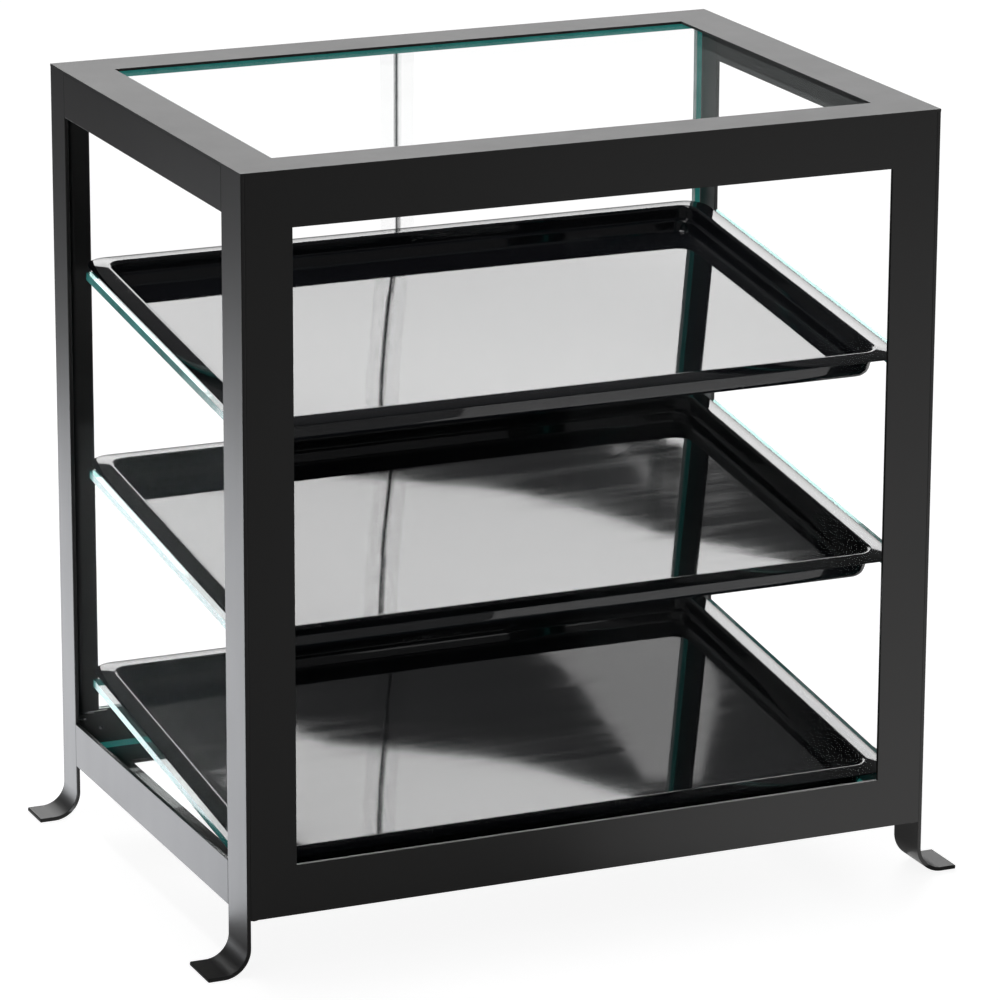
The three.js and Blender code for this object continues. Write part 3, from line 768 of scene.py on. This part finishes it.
def tray_profile():
    """(inset from the outline, height, corner radius), from the underside round to the floor's edge."""
    rim = TRAY_RIM
    fall = TRAY_FALL
    under = [(rim + 12.0, -fall, 9.0), (rim + 6.0, -fall + 0.2, 10.0), (rim + 3.6, -fall + 1.4, 10.8)]
    under += [(rim + 1.9, -fall + 3.6, 11.4), (rim + 1.0, -fall + 6.4, 11.8), (rim - 1.1, -3.6, 12.8)]
    under += [(rim - 2.4, -2.7, 13.2), (rim - 4.0, -2.55, 13.6), (6.0, -2.5, 15.6)]
    lip = [(0.9, -2.5, 17.2), (0.25, -2.4, 17.8), (0.0, -2.1, 18.0), (0.1, -1.8, 17.9), (0.6, -1.55, 17.6)]
    crown = [(2.4, -1.15, 16.6), (5.0, -0.75, 15.6), (8.0, -0.42, 14.8), (10.6, -0.20, 14.2)]
    crown += [(12.4, -0.04, 13.6), (13.2, 0.0, 13.3), (14.0, -0.12, 13.0), (14.7, -0.5, 12.8)]
    wall = [(15.2, -1.2, 12.7), (15.5, -2.2, 12.6), (16.6, -8.8, 12.3), (16.9, -9.5, 12.2)]
    ledge = [(17.5, -9.8, 12.1), (19.5, -9.85, 11.7), (20.0, -10.2, 11.6), (20.3, -11.0, 11.5)]
    foot = [(21.6, -16.2, 11.2), (22.3, -17.3, 11.0), (23.4, -18.0, 10.6), (24.8, -18.3, 10.2)]
    foot.append((FLOOR_INSET, FLOOR_EDGE_HEIGHT, 9.8))
    return under + lip + crown + wall + ledge + foot


def floor_height(x, y):
    """The floor hangs a little in the middle, and meets its edge level."""
    u = min(1.0, abs(x) / (TRAY_WIDTH / 2 - FLOOR_INSET))
    v = min(1.0, abs(y) / (TRAY_DEPTH / 2 - FLOOR_INSET))
    return FLOOR_EDGE_HEIGHT - FLOOR_SAG * (1 - u * u) * (1 - v * v)


def tray(level):
    """A moulded tray: one closed shell swept round its rounded outline, with a sagging floor."""
    bm = bmesh.new()
    rings = []
    for inset, height, radius in tray_profile():
        points = rounded_rectangle(TRAY_WIDTH - 2 * inset, TRAY_DEPTH - 2 * inset, radius)
        rings.append([bm.verts.new((x, y, height)) for x, y in points])
    edge = [vert.co.copy() for vert in rings[-1]]
    for step in range(1, FLOOR_RINGS):
        shrink = 1 - step / FLOOR_RINGS
        rings.append([
            bm.verts.new((p.x * shrink, p.y * shrink, floor_height(p.x * shrink, p.y * shrink))) for p in edge
        ])
    count = len(rings[0])
    for a, b in zip(rings, rings[1:]):
        for i in range(count):
            j = (i + 1) % count
            bm.faces.new((a[i], a[j], b[j], b[i]))
    bm.faces.new(rings[0])
    middle = bm.verts.new((0, 0, floor_height(0, 0)))
    for i in range(count):
        bm.faces.new((rings[-1][i], rings[-1][(i + 1) % count], middle))
    move = tray_space(level) @ Matrix.Translation((0, TRAY_FRONT + TRAY_DEPTH / 2, 0))
    bmesh.ops.transform(bm, matrix=move, verts=bm.verts)
    name, body, replaced = level + "_serving_tray", "tray_" + level, (level + "_tray",)
    finish_object(name, bm, GLOSS_BLACK, body, replaced, TRAY_SMOOTH_ANGLE)


# ---- Rear door ----------------------------------------------------------------------------

STILE_GROOVE_HALF = 2.8
STILE_GROOVE_DEPTH = 10.0
STILE_LIP = 0.6
GROOVE_EDGE = 0.2
KNUCKLES = 5
KNUCKLE_GAP = 0.4
KNUCKLE_RADIUS = 1.3
KNUCKLE_BORE = 0.65
HINGE_PIN_RADIUS = 0.6
HINGE_PLATE_THICKNESS = 1.0
HINGE_PLATE_REACH = (1.7, 13.7)
HINGE_TAB_REACH = (0.8, 2.7)
HINGE_SMOOTH_ANGLE = 40
PULL_WALL = 2.0
PULL_LIP = 12.0


def hinge_stile():
    """An upright channel with a round outer edge that grips the inner leaf."""
    low, high = box_millimetres("door_hinge_stile")
    half = (high.y - low.y) / 2
    middle = (high.y + low.y) / 2
    pivot = low.x + half
    end = high.x
    groove = STILE_GROOVE_HALF
    points = arc((pivot, middle), half, 90, 270, 20)
    points += [(end - STILE_LIP, middle - half), (end, middle - half + STILE_LIP)]
    points += [(end, middle - groove - GROOVE_EDGE), (end - GROOVE_EDGE, middle - groove)]
    points += [(end - STILE_GROOVE_DEPTH, middle - groove), (end - STILE_GROOVE_DEPTH, middle + groove)]
    points += [(end - GROOVE_EDGE, middle + groove), (end, middle + groove + GROOVE_EDGE)]
    points += [(end, middle + half - STILE_LIP), (end - STILE_LIP, middle + half)]
    bm = bmesh.new()
    extrude_outline(bm, points, low.z, high.z, "Z")
    caps = [e for f in bm.faces if abs(f.normal.z) > 0.9 for e in f.edges]
    round_edges(bm, list(dict.fromkeys(caps)), WINDOW_EDGE, 2)
    finish_object("door_stile_channel", bm, POWDER, "door_inner", ("door_hinge_stile",))


def fold_hinge():
    """Clear plate and knuckles of each half, and the pin; the plates have broken edges."""
    pin_low, pin_high = box_millimetres("fold_hinge_pin")
    x = (pin_low.x + pin_high.x) / 2
    y = (pin_low.y + pin_high.y) / 2
    back = box_millimetres("door_inner_leaf")[1].y
    length = (pin_high.z - pin_low.z) / KNUCKLES
    for name, side, first, body in (
        ("fold_hinge_inner_half", -1, 0, "door_inner"), ("fold_hinge_outer_half", 1, 1, "door_outer"),
    ):
        bm = bmesh.new()
        near, far = sorted(x + side * reach for reach in HINGE_PLATE_REACH)
        front, rear = back, back + HINGE_PLATE_THICKNESS
        rounded_box(bm, (near, front, pin_low.z), (far, rear, pin_high.z), 0.3, 2)
        plate_faces = set(bm.faces)
        near, far = sorted(x + side * reach for reach in HINGE_TAB_REACH)
        for i in range(first, KNUCKLES, 2):
            bottom = pin_low.z + i * length + KNUCKLE_GAP / 2
            top = bottom + length - KNUCKLE_GAP
            cylinder(bm, (x, y), KNUCKLE_RADIUS, bottom, top, "Z", 24, KNUCKLE_BORE, 0.15)
            rounded_box(bm, (near, back + 0.05, bottom), (far, back + 0.95, top), 0.15, 1)
        for face in bm.faces:
            face.material_index = 0 if face in plate_faces else 1
        materials = [HINGE_PLATE, KNUCKLE]
        finish_object(name + "_strip", bm, materials, body, (name,), HINGE_SMOOTH_ANGLE)
    bm = bmesh.new()
    cylinder(bm, (x, y), HINGE_PIN_RADIUS, pin_low.z, pin_high.z, "Z", 16, 0.0, 0.15)
    finish_object("fold_hinge_rod", bm, ZINC, "door_inner", ("fold_hinge_pin",))


def door_pull():
    """A clear moulded channel to hook a finger in."""
    low, high = box_millimetres("door_pull")
    wall_x, lip_x = low.x + PULL_WALL, low.x + PULL_LIP
    wall_y, lip_y = low.y + PULL_WALL, high.y - PULL_WALL
    points = [(low.x, low.y), (high.x, low.y), (high.x, wall_y), (wall_x, wall_y)]
    points += [(wall_x, lip_y), (lip_x, lip_y), (lip_x, high.y), (low.x, high.y)]
    bm = bmesh.new()
    extrude_outline(bm, points, low.z, high.z, "Z")
    round_edges(bm, creases(bm), 0.6, 3)
    finish_object("door_finger_pull", bm, CLEAR_PLASTIC, "door_outer", ("door_pull",))


BRACKET_THICKNESS = 3.0
PIVOT_TAB_WIDTH = 13.5
SHANK_RADIUS = 1.9
SHANK_POINT = 0.4
HEAD_RADIUS = 3.5
HEAD_RIM = 0.7
HEAD_FLAT = 0.9
RECESS_LENGTH = 1.7
RECESS_WIDTH = 0.35
RECESS_DEPTH = 0.9
TURNED_SMOOTH_ANGLE = 40
PIN_RADIUS = 2.0
PIN_CHAMFER = 0.5
PIN_HEAD_RADIUS = 3.2
PIN_HEAD_HEIGHT = 1.85
WASHER_RADIUS = 4.4
WASHER_BORE = 2.1


def angle_bracket(name):
    """A folded bracket: a plate on the rail and a shelf toward the front."""
    low, high = box_millimetres(name)
    bm = bmesh.new()
    tab_right = high.x if name == "catch_bracket" else low.x + PIVOT_TAB_WIDTH
    plate_front = high.y - BRACKET_THICKNESS
    shelf_under = high.z - BRACKET_THICKNESS
    rounded_box(bm, (low.x, plate_front, low.z), (high.x, high.y, high.z - 0.4), 0.5, 2)
    rounded_box(bm, (low.x, low.y, shelf_under), (tab_right, high.y - 0.4, high.z), 0.5, 2)
    finish_object(name + "_angle", bm, POWDER, "case", (name,))


def screw(name):
    """A pan head with a cross recess, and its shank."""
    low, high = box_millimetres(name)
    x, z = (low.x + high.x) / 2, (low.z + high.z) / 2
    seat = box_millimetres("rear_bottom_rail")[1].y
    rim = seat + HEAD_RIM
    bm = bmesh.new()
    profile = [(0.0, low.y), (SHANK_RADIUS - SHANK_POINT, low.y), (SHANK_RADIUS, low.y + 0.5)]
    profile += [(SHANK_RADIUS, seat), (HEAD_RADIUS, seat), (HEAD_RADIUS, rim)]
    for angle in (20, 40, 60, 75):
        a = math.radians(angle)
        radius = HEAD_FLAT + (HEAD_RADIUS - HEAD_FLAT) * math.cos(a)
        profile.append((radius, rim + (high.y - seat - HEAD_RIM) * math.sin(a)))
    profile += [(HEAD_FLAT, high.y), (0.0, high.y)]
    lathe(bm, (x, z), profile, "Y", 28)
    obj = finish_object(name + "_pan_head", bm, ZINC, "case", (name,), TURNED_SMOOTH_ANGLE)
    cross = bmesh.new()
    floor_y = high.y - RECESS_DEPTH
    for half_x, half_z in ((RECESS_LENGTH, RECESS_WIDTH), (RECESS_WIDTH, RECESS_LENGTH)):
        add_box(cross, (x - half_x, floor_y, z - half_z), (x + half_x, high.y + 1, z + half_z))
    cut_out(obj, cross)


def cut_out(obj, cutter_bm):
    """Cuts a bmesh in millimetres out of an object already made."""
    mesh = bpy.data.meshes.new("cutter")
    cutter_bm.to_mesh(mesh)
    cutter_bm.free()
    mesh.transform(Matrix.Scale(MM, 4))
    cutter = bpy.data.objects.new("cutter", mesh)
    scene.collection.objects.link(cutter)
    modifier = obj.modifiers.new("cut", "BOOLEAN")
    modifier.operation = "DIFFERENCE"
    modifier.solver = "EXACT"
    modifier.use_self = True
    modifier.object = cutter
    bpy.context.view_layer.update()
    graph = bpy.context.evaluated_depsgraph_get()
    result = bpy.data.meshes.new_from_object(obj.evaluated_get(graph))
    obj.modifiers.clear()
    obj.data = result
    bpy.data.objects.remove(cutter)
    shade(obj, TURNED_SMOOTH_ANGLE)
    weigh_normals(obj)


def simple_box(name, material, body, radius):
    """A block with rounded edges."""
    low, high = box_millimetres(name)
    bm = bmesh.new()
    rounded_box(bm, low, high, radius, 3)
    finish_object(name + "_moulded", bm, material, body, (name,))


def pivot_pin(name, headed):
    """A turned pin with a chamfered point, on a round head or plain."""
    low, high = box_millimetres(name)
    point = PIN_RADIUS - PIN_CHAMFER
    if headed:
        head_top = low.z + PIN_HEAD_HEIGHT
        profile = [(0, low.z), (PIN_HEAD_RADIUS - 0.4, low.z), (PIN_HEAD_RADIUS, low.z + 0.4)]
        profile += [(PIN_HEAD_RADIUS, low.z + 1.5), (PIN_HEAD_RADIUS - 0.3, head_top), (PIN_RADIUS, head_top)]
    else:
        profile = [(0, low.z), (point, low.z), (PIN_RADIUS, low.z + PIN_CHAMFER)]
    profile += [(PIN_RADIUS, high.z - PIN_CHAMFER), (point, high.z), (0, high.z)]
    bm = bmesh.new()
    lathe(bm, ((low.x + high.x) / 2, (low.y + high.y) / 2), profile, "Z", 28)
    finish_object(name + "_turned", bm, ZINC, "case", (name,))


def washer():
    """The plastic ring under the hinge stile."""
    low, high = box_millimetres("pivot_washer")
    centre = ((low.x + high.x) / 2, (low.y + high.y) / 2)
    bm = bmesh.new()
    cylinder(bm, centre, WASHER_RADIUS, low.z, high.z, "Z", 32, WASHER_BORE, 0.25)
    finish_object("pivot_washer_ring", bm, PLASTIC, "case", ("pivot_washer",))


def hardware():
    """Pivots, catch, strike and bumpers."""
    angle_bracket("lower_pivot_bracket")
    angle_bracket("catch_bracket")
    simple_box("upper_pivot_block", POWDER, "case", 0.6)
    simple_box("catch_body", PLASTIC, "case", 0.8)
    simple_box("catch_magnet", ZINC, "case", 0.2)
    simple_box("door_strike", ZINC, "door_outer", 0.15)
    simple_box("left_door_bumper", CLEAR_PLASTIC, "case", 0.7)
    simple_box("right_door_bumper", CLEAR_PLASTIC, "case", 0.7)
    for name in ("pivot_screw_outer", "pivot_screw_inner", "catch_screw_inner", "catch_screw_outer"):
        screw(name)
    pivot_pin("lower_pivot_pin", True)
    pivot_pin("upper_pivot_pin", False)
    washer()


# ---- Surroundings -------------------------------------------------------------------------

BACKDROP_DISTANCE = 16.0
BACKDROP_AZIMUTH = 26.0

# The outlines' points are metres across and up, seen from the case.
BACKDROP_OUTLINE = (
    (-10.0, 0.0), (4.4, 0.0), (4.4, 9.0), (1.5, 9.1), (0.66, 9.12), (0.53, 9.19), (0.40, 9.33),
    (0.27, 9.50), (0.17, 9.65), (0.06, 9.78), (-0.16, 9.95), (-0.36, 10.04), (-0.60, 10.22),
    (-0.70, 9.80), (-1.10, 9.70), (-10.0, 9.60),
)
SIDE_OUTLINE = ((0.56, 9.42), (0.80, 9.42), (0.82, 10.70), (0.47, 10.70), (0.46, 10.05))

WORLD_LIGHT = 0.13
WORLD_WHITE = 1.05
FLOOR_RADIUS = 1.55
FLOOR_DROP = 0.0002
WHITE = (1, 1, 1)
COOL = (0.965, 0.985, 1.03)


def area_light(name, place, size, radiance, colour, turn):
    """A rectangular light of the given brightness, hidden from the camera."""
    data = bpy.data.lights.new(name, "AREA")
    data.shape = "RECTANGLE"
    data.size, data.size_y = size
    data.energy = size[0] * size[1] * radiance * math.pi
    data.color = colour
    data.spread = math.pi
    light = bpy.data.objects.new(name, data)
    scene.collection.objects.link(light)
    light.location = place
    light.rotation_euler = turn
    light.visible_camera = False


def studio_world():
    """White to the camera and dim to everything else."""
    world = bpy.data.worlds.new("studio")
    scene.world = world
    world.use_nodes = True
    tree = world.node_tree
    background = tree.nodes["Background"]
    background.inputs["Color"].default_value = (0.97, 0.98, 1.0, 1)
    background.inputs["Strength"].default_value = WORLD_LIGHT
    seen = tree.nodes.new("ShaderNodeBackground")
    seen.inputs["Color"].default_value = (1, 1, 1, 1)
    seen.inputs["Strength"].default_value = WORLD_WHITE
    path = tree.nodes.new("ShaderNodeLightPath")
    choose = tree.nodes.new("ShaderNodeMixShader")
    tree.links.new(path.outputs["Is Camera Ray"], choose.inputs[0])
    tree.links.new(background.outputs[0], choose.inputs[1])
    tree.links.new(seen.outputs[0], choose.inputs[2])
    tree.links.new(choose.outputs[0], tree.nodes["World Output"].inputs["Surface"])


def studio_floor():
    """A round floor just under the feet."""
    bm = bmesh.new()
    bmesh.ops.create_circle(bm, cap_ends=True, segments=96, radius=FLOOR_RADIUS)
    mesh = bpy.data.meshes.new("floor")
    bm.to_mesh(mesh)
    bm.free()
    floor = bpy.data.objects.new("floor", mesh)
    mesh.materials.append(pale_floor())
    scene.collection.objects.link(floor)
    floor.location.z = cad_box[0].z - FLOOR_DROP


def surroundings():
    """The world, the floor, the backdrops behind the case, and soft lights above and on the floor."""
    studio_world()
    studio_floor()
    backdrop("backdrop", BACKDROP_OUTLINE, backdrop_glow("backdrop_glow", 2.8, 7.0, 0.3, 4.0))
    backdrop("side_backdrop", SIDE_OUTLINE, backdrop_glow("side_backdrop_glow", 0.0, 1.0, 1.4, 1.4))
    above = Vector((-0.2, 0.1, 2.4))
    down = (Vector((0, 0, 0.3)) - above).to_track_quat("-Z", "Y").to_euler()
    up = Euler((math.pi, 0, 0))
    up_turned = Euler((math.pi, 0, math.radians(24)))
    area_light("top_softbox", above, (0.6, 0.6), 13.0, WHITE, down)
    area_light("left_floor_glow", (-0.62, 0.55, 0.006), (0.7, 1.3), 2.8, COOL, up)
    area_light("right_floor_glow", (1.17, -0.87, 0.006), (1.6, 2.0), 0.8, WHITE, up_turned)


def backdrop(name, outline, material):
    """A flat sheet hung behind the case; the outline's points are metres across and up."""
    azimuth = math.radians(BACKDROP_AZIMUTH)
    out = Vector((math.sin(azimuth), math.cos(azimuth), 0)) * BACKDROP_DISTANCE
    across = Vector((math.cos(azimuth), -math.sin(azimuth), 0))
    bm = bmesh.new()
    bm.faces.new([bm.verts.new(out + across * a + Vector((0, 0, b))) for a, b in outline])
    mesh = bpy.data.meshes.new(name)
    bm.to_mesh(mesh)
    bm.free()
    sheet = bpy.data.objects.new(name, mesh)
    mesh.materials.append(material)
    scene.collection.objects.link(sheet)
    sheet.visible_camera = False


def colour_settings():
    """Plain colours, so that the materials show as they are."""
    scene.view_settings.view_transform = "Standard"
    scene.view_settings.look = "None"
    scene.view_settings.exposure = 0.0
    scene.view_settings.gamma = 1.0


# ---- Assembly -----------------------------------------------------------------------------

front_frame()
for node in ("front_left_leg", "front_right_leg", "rear_left_leg", "rear_right_leg"):
    leg(node)
for node in ("left_side_top_rail", "right_side_top_rail", "left_side_bottom_rail", "right_side_bottom_rail"):
    plate(node)
plate("rear_bottom_rail")
ring(
    "top_ring",
    ("top_front_flange", "top_rear_flange", "right_top_side_flange", "left_top_side_flange"),
    RING_EDGE,
)
ring(
    "bottom_ring",
    ("bottom_front_flange", "bottom_rear_flange", "right_bottom_side_flange", "left_bottom_side_flange"),
    BOTTOM_RING_EDGE,
)
corner_welds()
panes()
for level in TRAY_LEVELS:
    tray(level)
    runner(level, -1)
    runner(level, 1)
hinge_stile()
fold_hinge()
door_pull()
hardware()
surroundings()
colour_settings()
